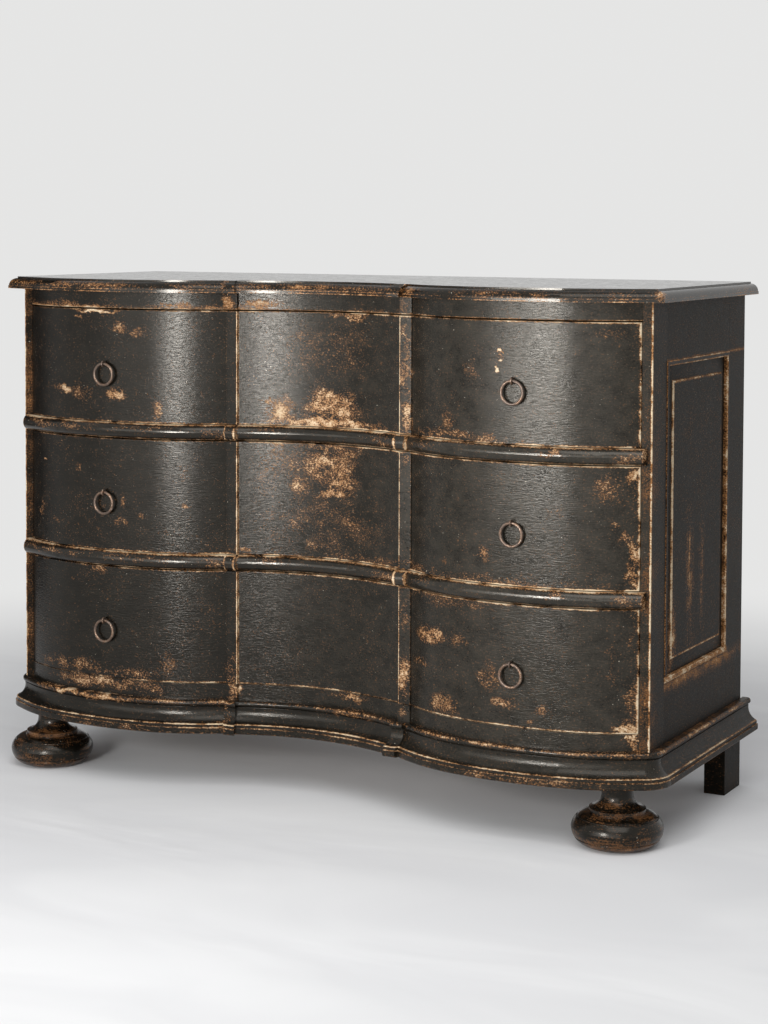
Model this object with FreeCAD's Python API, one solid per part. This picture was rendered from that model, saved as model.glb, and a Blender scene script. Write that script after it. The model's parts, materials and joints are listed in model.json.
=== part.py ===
import FreeCAD, Part
import math
import os
from FreeCAD import Vector

# A serpentine chest of three drawers on bun feet. Millimetres, +Z up, front towards -Y.
# The pieces are drawn with y = 0 at the front faces of the stiles and moved at the end, so that
# the origin is on the floor under the middle of the whole chest.

# Carcase
BODY_WIDTH = 1200.0
BODY_DEPTH = 442.0
FOOT_HEIGHT = 98.0
PLINTH_HEIGHT = 82.0
DRAWER_OPENING = 198.0
DIVIDER_HEIGHT = 26.0
FRIEZE_HEIGHT = 29.0
TOP_THICKNESS = 21.0
SIDE_THICKNESS = 17.0
FRONT_STILE_DEPTH = 62.0
REAR_POST_WIDTH = 37.0
REAR_POST_DEPTH = 80.0
SIDE_TOP_RAIL = 94.0
SIDE_BOTTOM_RAIL = 151.0
RAIL_BACK = 75.0
ARRIS_ROUND = 1.5

# Serpentine front: two swelling lobes, two flat fillets and a hollow bay
LOBE_PEAK_INSET = 195.0
LOBE_RISE = 52.0
LOBE_CROWN_RADIUS = 520.0
LOBE_CROWN_ANGLE = math.radians(9.0)
FILLET_FROM_PEAK = 221.0
FILLET_WIDTH = 22.0
FILLET_BACK = 6.0
FILLET_OVER_LOBE = 2.0
FILLET_OVER_BAY = 6.0
BAY_DEPTH = 45.0

# Where a moulding breaks round a fillet: its step forward, and its lean inwards for each mm of reach
BREAK_STEP = 3.0
BREAK_LEAN = 0.45

# Moulded edge of the top
TOP_OVERHANG = 24.0
TOP_LIP = 5.0
TOP_LIP_STEP = 1.0
TOP_OVOLO = 13.0
TOP_FRAME_DEPTH = 62.0

# Half-round nosing on the dividers
NOSING_REACH = 13.0
NOSING_LAP = 8.0

# Base moulding, from the floor side up: band, fillet, hollow and bead
BASE_REACH = 28.0
BASE_BAND = 11.0
BASE_BAND_ROUND = 3.0
BASE_FILLET = 6.0
BASE_FILLET_STEP = 2.0
BASE_HOLLOW = 26.0
BASE_HOLLOW_NECK = 11.0
BASE_BEAD = 12.0
BASE_BEAD_ROOT = 9.0
BASE_QUIRK = 1.0
BASE_CORNER_RADIUS = 22.0
BASE_REAR_OVERHANG = 12.0

# Framed sides
PANEL_GROOVE = 8.0
PANEL_TONGUE = 6.0
PANEL_TONGUE_SET = 4.0
PANEL_MARGIN = 34.0
PANEL_BEVEL_RISE = 4.0
PANEL_FIELD_STEP = 2.0
PANEL_PLAY = 1.0
PANEL_BEAD_WIDTH = 9.0
PANEL_BEAD_PROUD = 1.5
PANEL_BEAD_ROUND = 3.0
TENON_LENGTH = 20.0
TENON_THICKNESS = 6.0
TENON_SHOULDER = 12.0
STUB_TENON_LENGTH = 10.0
STUB_TENON_DEPTH = 26.0
STUB_TENON_SHOULDER = 6.0

# Back and bottom
BACK_RAIL_THICKNESS = 18.0
BACK_RAIL_HEIGHT = 40.0
BACK_BOARD = 12.0
BACK_BOARDS = 3
BACK_REBATE = 10.0
BACK_LAP = 10.0
BACK_SET = 2.0
BOTTOM_BOARD = 16.0
BOTTOM_BOARD_RISE = 12.0

# Drawers
DRAWER_NAMES = ("lower", "middle", "upper")
DRAWER_FRONT = 24.0
DRAWER_GAP_BELOW = 1.0
DRAWER_GAP_ABOVE = 2.5
DRAWER_GAP_SIDE = 1.5
DRAWER_LIP = 12.0
DRAWER_SIDE = 14.0
DRAWER_SIDE_DROP = 6.0
DRAWER_BOX_INSET = 40.0
DRAWER_REAR_SPACE = 6.0
DRAWER_BACK = 12.0
DRAWER_BACK_SET = 4.0
DRAWER_BACK_DROP = 10.0
DRAWER_BOTTOM = 8.0
DRAWER_BOTTOM_RISE = 10.0
DRAWER_GROOVE = 5.0
END_BLOCK = 14.0
SHOULDER_Y = 14.0
TAIL_LENGTH = 13.0
TAIL_COUNT = 4
TAIL_ROOT_SHARE = 0.5
TAIL_TIP_SHARE = 0.66

# Runners, guides, kickers and stops
RUNNER_WIDTH = 45.0
RUNNER_HEIGHT = 22.0
GUIDE_HEIGHT = 22.0
GUIDE_CLEARANCE = 0.5
RUNNING_GAP = 0.3
KICKER_HEIGHT = 24.0
STOP_WIDTH = 40.0
STOP_DEPTH = 18.0
STOP_HEIGHT = 8.0

# Ring pulls on staples
RING_RADIUS = 18.5
RING_WIRE = 5.0
RING_ABOVE_MIDDLE = 3.0
EYE_WIRE = 3.4
EYE_CLEARANCE = 0.35
SHANK_DIAMETER = 4.8
CLENCH_LENGTH = 24.0
CLENCH_WIDTH = 3.0
CLENCH_THICKNESS = 2.5

# Turned bun feet
FOOT_INSET = 54.0
FOOT_Y = 5.0
FOOT_SOLE_RADIUS = 44.0
BUN_RADIUS = 73.0
BUN_WAIST_Z = 30.0
BUN_TOP_Z = 53.0
BUN_GROOVE_Z = 14.0
BUN_GROOVE = 1.6
COLLAR_RADIUS = 45.0
COLLAR_HEIGHT = 7.0
COLLAR_QUIRK = 3.0
NECK_RADIUS = 25.0
NECK_LENGTH = 14.0
DOWEL_RADIUS = 11.0
DOWEL_LENGTH = 40.0
DOWEL_CLEARANCE = 0.1

# Derived planes and levels
HALF_WIDTH = BODY_WIDTH / 2
OPENING_X = HALF_WIDTH - SIDE_THICKNESS
LOBE_PEAK_X = OPENING_X - LOBE_PEAK_INSET
FILLET_X = LOBE_PEAK_X - FILLET_FROM_PEAK
FOOT_X = HALF_WIDTH - FOOT_INSET
POST_X = HALF_WIDTH - REAR_POST_WIDTH
POST_Y = BODY_DEPTH - REAR_POST_DEPTH
PLINTH_TOP = FOOT_HEIGHT + PLINTH_HEIGHT
FLOORS = [PLINTH_TOP + i * (DRAWER_OPENING + DIVIDER_HEIGHT) for i in range(len(DRAWER_NAMES))]
FRIEZE_Z = FLOORS[-1] + DRAWER_OPENING
BODY_TOP = FRIEZE_Z + FRIEZE_HEIGHT
TOP_Z = BODY_TOP + TOP_THICKNESS
PANEL_Z0 = FOOT_HEIGHT + SIDE_BOTTOM_RAIL
PANEL_Z1 = BODY_TOP - SIDE_TOP_RAIL
BACK_Y = BODY_DEPTH - BACK_SET - BACK_BOARD
BACK_RAIL_Y = BACK_Y - BACK_RAIL_THICKNESS
BOX_X = HALF_WIDTH - DRAWER_BOX_INSET
DRAWER_END_Y = BACK_RAIL_Y - DRAWER_REAR_SPACE
FRONT_END_X = OPENING_X - DRAWER_GAP_SIDE
FRONT_MOST = -(LOBE_RISE + BASE_REACH)
REAR_MOST = BODY_DEPTH + BASE_REAR_OVERHANG
ORIGIN_Y = (FRONT_MOST + REAR_MOST) / 2

UP = Vector(0, 0, 1)
MIDDLE = Vector(0, 0, 0)
ACROSS = Vector(1, 0, 0)


def box(x0, x1, y0, y1, z0, z1):
    return Part.makeBox(x1 - x0, y1 - y0, z1 - z0, Vector(x0, y0, z0))


def mirrored(shape):
    return shape.mirror(MIDDLE, ACROSS)


def joined(shapes):
    return shapes[0].multiFuse(shapes[1:]).removeSplitter()


def prism(points, depth):
    """Straight prism over a closed polygon."""
    return Part.Face(Part.makePolygon(points + points[:1])).extrude(depth)


def ray(angle):
    """Level direction at an angle from the front, -Y, turning towards +X."""
    return Vector(math.sin(angle), -math.cos(angle), 0)


def angle_of(direction):
    return math.atan2(direction.x, -direction.y)


def arc_from(start, inward, end):
    """Centre and radius of the arc through start and end, with its centre inward from start."""
    chord = end - start
    radius = chord.dot(chord) / (2 * inward.dot(chord))
    return start + inward * radius, radius


# Plan of the front. Each arc is a centre, a radius, a first and a last angle.
FILLET_OUT_X = FILLET_X + FILLET_WIDTH / 2
FILLET_IN_X = FILLET_X - FILLET_WIDTH / 2
CROWN_CENTRE = Vector(LOBE_PEAK_X, LOBE_CROWN_RADIUS - LOBE_RISE, 0)


def lobe_flank(side, end):
    """Arc from the end of the crown to the given point; side is 1 outwards and -1 inwards."""
    turn = side * LOBE_CROWN_ANGLE
    start = CROWN_CENTRE + ray(turn) * LOBE_CROWN_RADIUS
    centre, radius = arc_from(start, ray(turn) * -1, end)
    return centre, radius, turn, angle_of(end - centre)


CROWN = (CROWN_CENTRE, LOBE_CROWN_RADIUS, -LOBE_CROWN_ANGLE, LOBE_CROWN_ANGLE)
OUTER = lobe_flank(1, Vector(OPENING_X, 0, 0))
INNER = lobe_flank(-1, Vector(FILLET_OUT_X, FILLET_BACK + FILLET_OVER_LOBE, 0))
BAY_START_Y = FILLET_BACK + FILLET_OVER_BAY
BAY_SAG = BAY_DEPTH - BAY_START_Y
BAY_RADIUS = (FILLET_IN_X ** 2 + BAY_SAG ** 2) / (2 * BAY_SAG)
BAY_CENTRE = Vector(0, BAY_DEPTH - BAY_RADIUS, 0)


def arc_edge(centre, radius, first, last):
    """Level arc, by angles from the front."""
    ends = [centre + ray(angle) * radius for angle in (first, (first + last) / 2, last)]
    return Part.Arc(*ends).toShape()


def angle_at_x(arc, inset, x):
    """Angle at which the arc, set back by inset, stands at x."""
    return math.asin((x - arc[0].x) / (arc[1] - inset))


def lobe_edges(inset, x_end):
    """The three arcs of the right lobe, set back by inset and ending at x_end."""
    last = angle_at_x(OUTER, inset, x_end)
    arcs = [(INNER, INNER[3], INNER[2]), (CROWN, CROWN[2], CROWN[3]), (OUTER, OUTER[2], last)]
    return [arc_edge(arc[0], arc[1] - inset, first, end) for arc, first, end in arcs]


def front_edges(x_end):
    """The visible line of the front, with its fillets, between -x_end and x_end."""
    right = lobe_edges(0, x_end)
    corners = [Vector(FILLET_OUT_X, FILLET_BACK + FILLET_OVER_LOBE, 0),
               Vector(FILLET_OUT_X, FILLET_BACK, 0),
               Vector(FILLET_IN_X, FILLET_BACK, 0),
               Vector(FILLET_IN_X, BAY_START_Y, 0)]
    right += [Part.makeLine(a, b) for a, b in zip(corners, corners[1:])]
    half = math.asin(FILLET_IN_X / BAY_RADIUS)
    bay = arc_edge(BAY_CENTRE, BAY_RADIUS, math.pi - half, math.pi + half)
    return right + [mirrored(edge) for edge in right] + [bay]


def inner_edges(inset, x_end):
    """The line of the front set back by inset, without the fillets."""
    right = lobe_edges(inset, x_end)
    half = math.asin(FILLET_IN_X / BAY_RADIUS)
    lobe_foot = INNER[0] + ray(INNER[3]) * (INNER[1] - inset)
    bay_foot = BAY_CENTRE + ray(math.pi - half) * (BAY_RADIUS + inset)
    right.append(Part.makeLine(lobe_foot, bay_foot))
    bay = arc_edge(BAY_CENTRE, BAY_RADIUS + inset, math.pi - half, math.pi + half)
    return right + [mirrored(edge) for edge in right] + [bay]


def line_end(inset, x_end):
    """Point where the front, set back by inset, reaches x_end."""
    return OUTER[0] + ray(angle_at_x(OUTER, inset, x_end)) * (OUTER[1] - inset)


def crown_y(inset, x):
    """Depth of the crown, set back by inset, at x."""
    return CROWN_CENTRE.y - math.sqrt((LOBE_CROWN_RADIUS - inset) ** 2 - (x - LOBE_PEAK_X) ** 2)


def slab(edges, z0, z1):
    """Solid over a closed line of level edges."""
    face = Part.Face(Part.Wire(Part.sortEdges(edges)[0]))
    face.translate(Vector(0, 0, z0))
    return face.extrude(Vector(0, 0, z1 - z0))


def ends_and_back(start, x_end, back):
    """Closing lines from the two ends of a front line to a straight back."""
    right = Part.makeLine(start, Vector(x_end, back, 0))
    return [right, mirrored(right), Part.makeLine(Vector(x_end, back, 0), Vector(-x_end, back, 0))]


def shaped_plank(x_end, back, z0, z1):
    """Plank sawn to the serpentine line in front and straight behind."""
    return slab(front_edges(x_end) + ends_and_back(line_end(0, x_end), x_end, back), z0, z1)


def inset_plank(inset, x_end, back, z0, z1):
    """Plank like the last, set back from the front and without the fillets."""
    return slab(inner_edges(inset, x_end) + ends_and_back(line_end(inset, x_end), x_end, back), z0, z1)


def section(outline, place):
    """Closed section of a moulding; place turns an (out, z) pair into a point."""
    first = place(*outline[0][-1])
    last = first
    edges = []
    for step in outline[1:]:
        end = place(*step[-1])
        if len(step) == 2:
            edges.append(Part.Arc(last, place(*step[0]), end).toShape())
        else:
            edges.append(Part.makeLine(last, end))
        last = end
    edges.append(Part.makeLine(last, first))
    return Part.Face(Part.Wire(edges))


def turned_run(outline, centre, radius, first, last, hollow=False):
    """Run of a moulding round a vertical axis; a hollow run has its axis in front of it."""
    sign = -1 if hollow else 1

    def place(out, z):
        return centre + ray(first) * (radius + sign * out) + UP * z

    return section(outline, place).revolve(centre, UP, math.degrees(last - first))


def straight_run(outline, start, outward, travel):
    """Run of a moulding along a straight line."""
    return section(outline, lambda out, z: start + outward * out + UP * z).extrude(travel)


def fillet_break(outline):
    """Block where a moulding breaks forward over the right-hand fillet."""
    def place(out, z):
        return Vector(FILLET_IN_X - BREAK_LEAN * out, FILLET_BACK - BREAK_STEP - out, z)

    return section(outline, place).extrude(ACROSS * FILLET_WIDTH)


def leaving_angle(corner, radius):
    """Angle at which a straight line touches both the lobe's flank and the corner arc."""
    low, high = LOBE_CROWN_ANGLE, OUTER[3]
    for _ in range(60):
        middle = (low + high) / 2
        gap = (OUTER[0] - corner).dot(ray(middle)) + OUTER[1] - radius
        if gap > 0:
            low = middle
        else:
            high = middle
    return middle


def front_moulding(outline, corner_radius, tail):
    """Moulding along the whole front; tail adds what follows the right-hand lobe."""
    corner = Vector(HALF_WIDTH - corner_radius, corner_radius, 0)
    leave = leaving_angle(corner, corner_radius)
    start = OUTER[0] + ray(leave) * OUTER[1]
    reach = (corner + ray(leave) * corner_radius - start).Length
    right = [turned_run(outline, *CROWN), turned_run(outline, *INNER[:2], INNER[3], INNER[2]),
             turned_run(outline, *OUTER[:3], leave), fillet_break(outline)]
    right += tail(outline, start, leave, reach, corner)
    half = math.asin(FILLET_X / BAY_RADIUS)
    bay = turned_run(outline, BAY_CENTRE, BAY_RADIUS, math.pi - half, math.pi + half, True)
    return joined([bay] + right + [mirrored(run) for run in right])


def along(angle):
    """Level direction square to a ray, to the right of someone facing the front."""
    return Vector(math.cos(angle), math.sin(angle), 0)


def top_outline(back):
    lip = BODY_TOP + TOP_LIP
    foot = TOP_OVERHANG - TOP_LIP_STEP
    head = foot - TOP_OVOLO
    bend = TOP_OVOLO * math.sqrt(0.5)
    return [((back, BODY_TOP),), ((TOP_OVERHANG, BODY_TOP),), ((TOP_OVERHANG, lip),), ((foot, lip),),
            ((head + bend, lip + bend), (head, lip + TOP_OVOLO)), ((head, TOP_Z),), ((back, TOP_Z),)]


def half_round(root, z0, z1, reach):
    """Two quarter rounds of a bead that stands out from root, between two levels."""
    middle, half = (z0 + z1) / 2, (z1 - z0) / 2
    bend = math.sqrt(0.5)
    low, high = (root + reach * bend, middle - half * bend), (root + reach * bend, middle + half * bend)
    return [(low, (root + reach, middle)), (high, (root, z1))]


def nosing_outline(z0):
    z1 = z0 + DIVIDER_HEIGHT
    round_face = half_round(0, z0, z1, NOSING_REACH)
    return [((-NOSING_REACH, z0),), ((0, z0),)] + round_face + [((-NOSING_REACH, z1),)]


def base_outline(back):
    band = FOOT_HEIGHT + BASE_BAND
    fillet = band + BASE_FILLET
    hollow = fillet + BASE_HOLLOW
    bead = hollow + BASE_BEAD
    step = BASE_REACH - BASE_FILLET_STEP
    foot = BASE_REACH - BASE_BAND_ROUND
    near = 1 - math.sqrt(0.5)
    round_middle = (BASE_REACH - BASE_BAND_ROUND * near, FOOT_HEIGHT + BASE_BAND_ROUND * near)
    depth = step - BASE_HOLLOW_NECK
    hollow_middle = (BASE_HOLLOW_NECK + depth * near, fillet + BASE_HOLLOW * near)
    bead_foot = hollow + BASE_QUIRK
    lower = [((back, FOOT_HEIGHT),), ((foot, FOOT_HEIGHT),),
             (round_middle, (BASE_REACH, FOOT_HEIGHT + BASE_BAND_ROUND)),
             ((BASE_REACH, band),), ((step, band),), ((step, fillet),),
             (hollow_middle, (BASE_HOLLOW_NECK, hollow)), ((BASE_BEAD_ROOT, hollow),),
             ((BASE_BEAD_ROOT, bead_foot),)]
    return lower + half_round(BASE_BEAD_ROOT, bead_foot, bead, (bead - bead_foot) / 2) + [((back, bead),)]


def top_pieces():
    """Panel framed by a shaped front board and two end boards, mitred at the front corners."""
    corner = Vector(HALF_WIDTH, 0, 0)
    leave = leaving_angle(corner, 0)
    slope = (math.sin(leave) - 1) / math.cos(leave)
    inner_x = HALF_WIDTH + TOP_FRAME_DEPTH / slope
    far = 4 * TOP_OVERHANG
    outer = Vector(HALF_WIDTH + far, far * slope, BODY_TOP)
    inner = Vector(inner_x, TOP_FRAME_DEPTH, BODY_TOP)
    height = Vector(0, 0, TOP_THICKNESS)
    ahead = Vector(0, FRONT_MOST + outer.y, 0)

    def tail(outline, start, angle, reach, _):
        return [straight_run(outline, start, ray(angle), along(angle) * (reach + far))]

    def flip(point):
        return Vector(-point.x, point.y, point.z)

    right = [inner, outer, outer + ahead]
    front_region = prism(right + [flip(point) for point in reversed(right)], height)
    edge = front_moulding(top_outline(-TOP_OVERHANG), 0, tail)
    plank = inset_plank(TOP_LIP / 2, HALF_WIDTH, TOP_FRAME_DEPTH, BODY_TOP, TOP_Z)
    front = joined([edge, plank]).common(front_region).removeSplitter()
    side = straight_run(top_outline(inner_x - HALF_WIDTH), Vector(HALF_WIDTH, outer.y, 0), ACROSS,
                        Vector(0, BODY_DEPTH - outer.y, 0))
    side_region = prism([inner, outer, Vector(outer.x, BODY_DEPTH, BODY_TOP),
                         Vector(inner.x, BODY_DEPTH, BODY_TOP)], height)
    end = side.common(side_region)
    panel = box(-inner_x, inner_x, TOP_FRAME_DEPTH, BODY_DEPTH, BODY_TOP, TOP_Z)
    return {"top_panel": panel, "top_front_board": front,
            "top_end_right": end, "top_end_left": mirrored(end)}


def stub_tenon(z0, z1):
    """Tenon of a front rail, standing out of its right-hand end."""
    front = (FRONT_STILE_DEPTH - TENON_LENGTH - STUB_TENON_DEPTH) / 2
    return box(OPENING_X, OPENING_X + STUB_TENON_LENGTH, front, front + STUB_TENON_DEPTH,
               z0 + STUB_TENON_SHOULDER, z1 - STUB_TENON_SHOULDER)


def front_rails():
    """Rails across the front, each with its two stub tenons, and the tenons by themselves."""
    levels = {"plinth_rail": (FOOT_HEIGHT, PLINTH_TOP), "frieze_rail": (FRIEZE_Z, BODY_TOP)}
    for name, floor in zip(("lower_divider", "upper_divider"), FLOORS[1:]):
        levels[name] = (floor - DIVIDER_HEIGHT, floor)
    rails = {}
    tenons = []
    for name, (z0, z1) in levels.items():
        tenon = stub_tenon(z0, z1)
        tenons.append(tenon)
        rails[name] = joined([shaped_plank(OPENING_X, RAIL_BACK, z0, z1), tenon, mirrored(tenon)])
    return rails, tenons


def side_rail(z0, z1):
    """Rail of the right-hand frame with its long tenons, and the tenons by themselves."""
    middle = HALF_WIDTH - SIDE_THICKNESS / 2
    x0, x1 = middle - TENON_THICKNESS / 2, middle + TENON_THICKNESS / 2
    tenons = box(x0, x1, FRONT_STILE_DEPTH - TENON_LENGTH, POST_Y + TENON_LENGTH,
                 z0 + TENON_SHOULDER, z1 - TENON_SHOULDER)
    body = box(OPENING_X, HALF_WIDTH, FRONT_STILE_DEPTH, POST_Y, z0, z1)
    return joined([body, tenons]), tenons


def raised_panel():
    """Right-hand panel: a tongue all round, a bevel and a raised field."""
    y0, y1 = FRONT_STILE_DEPTH, POST_Y
    back = OPENING_X + PANEL_TONGUE_SET
    face = back + PANEL_TONGUE
    run = PANEL_GROOVE - PANEL_PLAY

    def frame(x, margin):
        corners = [Vector(x, y0 + margin, PANEL_Z0 + margin), Vector(x, y1 - margin, PANEL_Z0 + margin),
                   Vector(x, y1 - margin, PANEL_Z1 - margin), Vector(x, y0 + margin, PANEL_Z1 - margin)]
        return Part.makePolygon(corners + corners[:1])

    tongue = Part.Face(frame(back, -run)).extrude(ACROSS * PANEL_TONGUE)
    bevel = Part.makeLoft([frame(face, 0), frame(face + PANEL_BEVEL_RISE, PANEL_MARGIN)], True, True)
    field = Part.Face(frame(face, PANEL_MARGIN)).extrude(ACROSS * (PANEL_BEVEL_RISE + PANEL_FIELD_STEP))
    groove = Part.Face(frame(back, -PANEL_GROOVE)).extrude(ACROSS * PANEL_TONGUE)
    return joined([tongue, bevel, field]), groove


def panel_bead(panel):
    """Rounded bead planted round the right-hand panel, in the corner of the frame."""
    x0, x1 = OPENING_X + PANEL_TONGUE_SET + PANEL_TONGUE, HALF_WIDTH + PANEL_BEAD_PROUD
    y0, y1 = FRONT_STILE_DEPTH, POST_Y
    width = PANEL_BEAD_WIDTH
    ring = box(x0, x1, y0, y1, PANEL_Z0, PANEL_Z1).cut(
        box(x0, x1, y0 + width, y1 - width, PANEL_Z0 + width, PANEL_Z1 - width))
    edges = [edge for edge in ring.Edges if all(abs(v.X - x1) < 0.01 for v in edge.Vertexes)]
    return ring.makeFillet(PANEL_BEAD_ROUND, edges).cut(panel)


def side_frame(rail_tenons):
    """Right-hand framed side with its panel and bead."""
    stile = box(OPENING_X, HALF_WIDTH, 0, FRONT_STILE_DEPTH, FOOT_HEIGHT, BODY_TOP)
    post = box(POST_X, HALF_WIDTH, POST_Y, BODY_DEPTH, 0, BODY_TOP)
    post = post.cut(box(POST_X, POST_X + BACK_REBATE, BACK_Y, BODY_DEPTH, FOOT_HEIGHT, BODY_TOP))
    arris = [edge for edge in stile.Edges
             if all(abs(v.X - HALF_WIDTH) + abs(v.Y) < 0.01 for v in edge.Vertexes)]
    stile = stile.makeFillet(ARRIS_ROUND, arris)
    top_rail, top_tenons = side_rail(PANEL_Z1, BODY_TOP)
    bottom_rail, bottom_tenons = side_rail(FOOT_HEIGHT, PANEL_Z0)
    panel, groove = raised_panel()
    stile = stile.cut(joined([groove, top_tenons, bottom_tenons])).cut(Part.makeCompound(rail_tenons))
    post = post.cut(joined([groove, top_tenons, bottom_tenons]))
    return {"front_stile": stile, "rear_post": post,
            "side_top_rail": top_rail.cut(groove), "side_bottom_rail": bottom_rail.cut(groove),
            "side_panel": panel, "panel_bead": panel_bead(panel)}


def nosing(floor, backing):
    """Half-round planted on a divider, lapping on to the stiles."""
    def tail(outline, start, angle, reach, _):
        return [straight_run(outline, start, ray(angle), along(angle) * reach)]

    whole = front_moulding(nosing_outline(floor - DIVIDER_HEIGHT), 0, tail)
    end = OPENING_X + NOSING_LAP
    span = box(-end, end, FRONT_MOST, BODY_DEPTH, 0, TOP_Z)
    return whole.common(span).cut(backing)


def base_mouldings(backing):
    """Front length with rounded corners and two straight side lengths."""
    def tail(outline, start, angle, reach, corner):
        line = straight_run(outline, start, ray(angle), along(angle) * reach)
        return [line, turned_run(outline, corner, BASE_CORNER_RADIUS, angle, math.pi / 2)]

    outline = base_outline(-BASE_CORNER_RADIUS / 2)
    front = front_moulding(outline, BASE_CORNER_RADIUS, tail).cut(backing)
    start = Vector(HALF_WIDTH, BASE_CORNER_RADIUS, 0)
    side = straight_run(base_outline(0), start, ACROSS, Vector(0, REAR_MOST - BASE_CORNER_RADIUS, 0))
    return {"base_moulding_front": front, "base_moulding_right": side, "base_moulding_left": mirrored(side)}


def bun_foot():
    """Turned foot with a bulging bun, a collar, a hollowed neck and a dowel."""
    far = math.sqrt(0.5)
    near = 1 - far
    collar_z = BUN_TOP_Z + COLLAR_HEIGHT
    neck_z = FOOT_HEIGHT - NECK_LENGTH
    shoulder = COLLAR_RADIUS - COLLAR_QUIRK
    low = (FOOT_SOLE_RADIUS + (BUN_RADIUS - FOOT_SOLE_RADIUS) * far, BUN_WAIST_Z * near)
    high = (shoulder + (BUN_RADIUS - shoulder) * far, BUN_WAIST_Z + (BUN_TOP_Z - BUN_WAIST_Z) * far)
    hollow = (NECK_RADIUS + (COLLAR_RADIUS - NECK_RADIUS) * near, collar_z + (neck_z - collar_z) * near)
    outline = [((0, 0),), ((FOOT_SOLE_RADIUS, 0),),
               (low, (BUN_RADIUS, BUN_WAIST_Z)), (high, (shoulder, BUN_TOP_Z)),
               ((COLLAR_RADIUS, BUN_TOP_Z),), ((COLLAR_RADIUS, collar_z),), (hollow, (NECK_RADIUS, neck_z)),
               ((NECK_RADIUS, FOOT_HEIGHT),), ((DOWEL_RADIUS, FOOT_HEIGHT),),
               ((DOWEL_RADIUS, FOOT_HEIGHT + DOWEL_LENGTH),), ((0, FOOT_HEIGHT + DOWEL_LENGTH),)]
    axis = Vector(FOOT_X, FOOT_Y, 0)
    foot = section(outline, lambda out, z: axis + ACROSS * out + UP * z).revolve(axis, UP, 360)
    for z in (BUN_GROOVE_Z, BUN_TOP_Z - BUN_GROOVE_Z / 2):
        reach = max(v.X for v in foot.slice(UP, z)[0].Vertexes) - FOOT_X
        foot = foot.cut(Part.makeTorus(reach, BUN_GROOVE, axis + UP * z))
    return foot


def runner(floor):
    """Right-hand bearer with its guide strip, from the rail to the rear post."""
    inner_x, guide_x = OPENING_X - RUNNER_WIDTH, BOX_X + GUIDE_CLEARANCE
    under, over = floor - RUNNER_HEIGHT, floor + GUIDE_HEIGHT
    profile = [(inner_x, under), (OPENING_X, under), (OPENING_X, over),
               (guide_x, over), (guide_x, floor), (inner_x, floor)]
    return prism([Vector(x, RAIL_BACK, z) for x, z in profile], Vector(0, POST_Y - RAIL_BACK, 0))


def stop(floor):
    """Right-hand block that stops a drawer's front."""
    x0, x1 = LOBE_PEAK_X - STOP_WIDTH / 2, LOBE_PEAK_X + STOP_WIDTH / 2
    near = crown_y(DRAWER_FRONT, x1) + RUNNING_GAP
    return box(x0, x1, near, near + STOP_DEPTH, floor, floor + STOP_HEIGHT)


def pair(shape):
    return Part.makeCompound([shape, mirrored(shape)])


def carcase_inside():
    """Back, bottom, runners, kickers and stops."""
    kicker = box(OPENING_X - RUNNER_WIDTH, OPENING_X, RAIL_BACK, POST_Y, FRIEZE_Z, FRIEZE_Z + KICKER_HEIGHT)
    edge_x = POST_X + BACK_REBATE
    height = (BODY_TOP - FOOT_HEIGHT) / BACK_BOARDS
    boards = []
    for i in range(BACK_BOARDS):
        z0 = FOOT_HEIGHT + i * height
        board = box(-edge_x, edge_x, BACK_Y, BACK_Y + BACK_BOARD, z0, z0 + height)
        if i > 0:
            tongue = box(-edge_x, edge_x, BACK_Y, BACK_Y + BACK_BOARD / 2, z0 - BACK_LAP, z0)
            boards[-1] = boards[-1].cut(tongue)
            board = joined([board, tongue])
        boards.append(board)
    floor_z = FOOT_HEIGHT + BOTTOM_BOARD_RISE
    corners = [(OPENING_X, RAIL_BACK), (OPENING_X, POST_Y), (POST_X, POST_Y), (POST_X, BACK_RAIL_Y)]
    outline = [Vector(x, y, floor_z) for x, y in corners]
    outline += [Vector(-p.x, p.y, p.z) for p in reversed(outline)]
    nodes = {"kickers": pair(kicker), "back_boards": Part.makeCompound(boards),
             "bottom_board": prism(outline, Vector(0, 0, BOTTOM_BOARD))}
    for name, z0 in (("back_rail_top", BODY_TOP - BACK_RAIL_HEIGHT), ("back_rail_bottom", FOOT_HEIGHT)):
        nodes[name] = box(-POST_X, POST_X, BACK_RAIL_Y, BACK_Y, z0, z0 + BACK_RAIL_HEIGHT)
    for name, floor in zip(DRAWER_NAMES, FLOORS):
        nodes[name + "_runners"] = pair(runner(floor))
    stops = [piece for floor in FLOORS for piece in pair(stop(floor)).Solids]
    nodes["drawer_stops"] = Part.makeCompound(stops)
    return nodes


def pull_centre(floor):
    """Centre of the right-hand eye, on which the ring turns."""
    middle = floor + (DRAWER_OPENING + DRAWER_GAP_BELOW - DRAWER_GAP_ABOVE) / 2
    return Vector(LOBE_PEAK_X, -LOBE_RISE - eye_radius() - EYE_WIRE / 2, middle + RING_ABOVE_MIDDLE)


def eye_radius():
    return RING_WIRE / 2 + EYE_CLEARANCE + EYE_WIRE / 2


def staple(floor):
    """Eye, shank through the drawer's front and clenched end, for the right-hand ring."""
    centre = pull_centre(floor)
    inside = DRAWER_FRONT - LOBE_RISE
    eye = Part.makeTorus(eye_radius(), EYE_WIRE / 2, centre, ACROSS)
    start = centre + Vector(0, eye_radius(), 0)
    end = inside + CLENCH_THICKNESS
    shank = Part.makeCylinder(SHANK_DIAMETER / 2, end - start.y, start, Vector(0, 1, 0))
    clench = box(centre.x - CLENCH_WIDTH / 2, centre.x + CLENCH_WIDTH / 2, inside, end,
                 centre.z - CLENCH_LENGTH / 2, centre.z + CLENCH_LENGTH / 2)
    return joined([eye, shank, clench])


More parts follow.
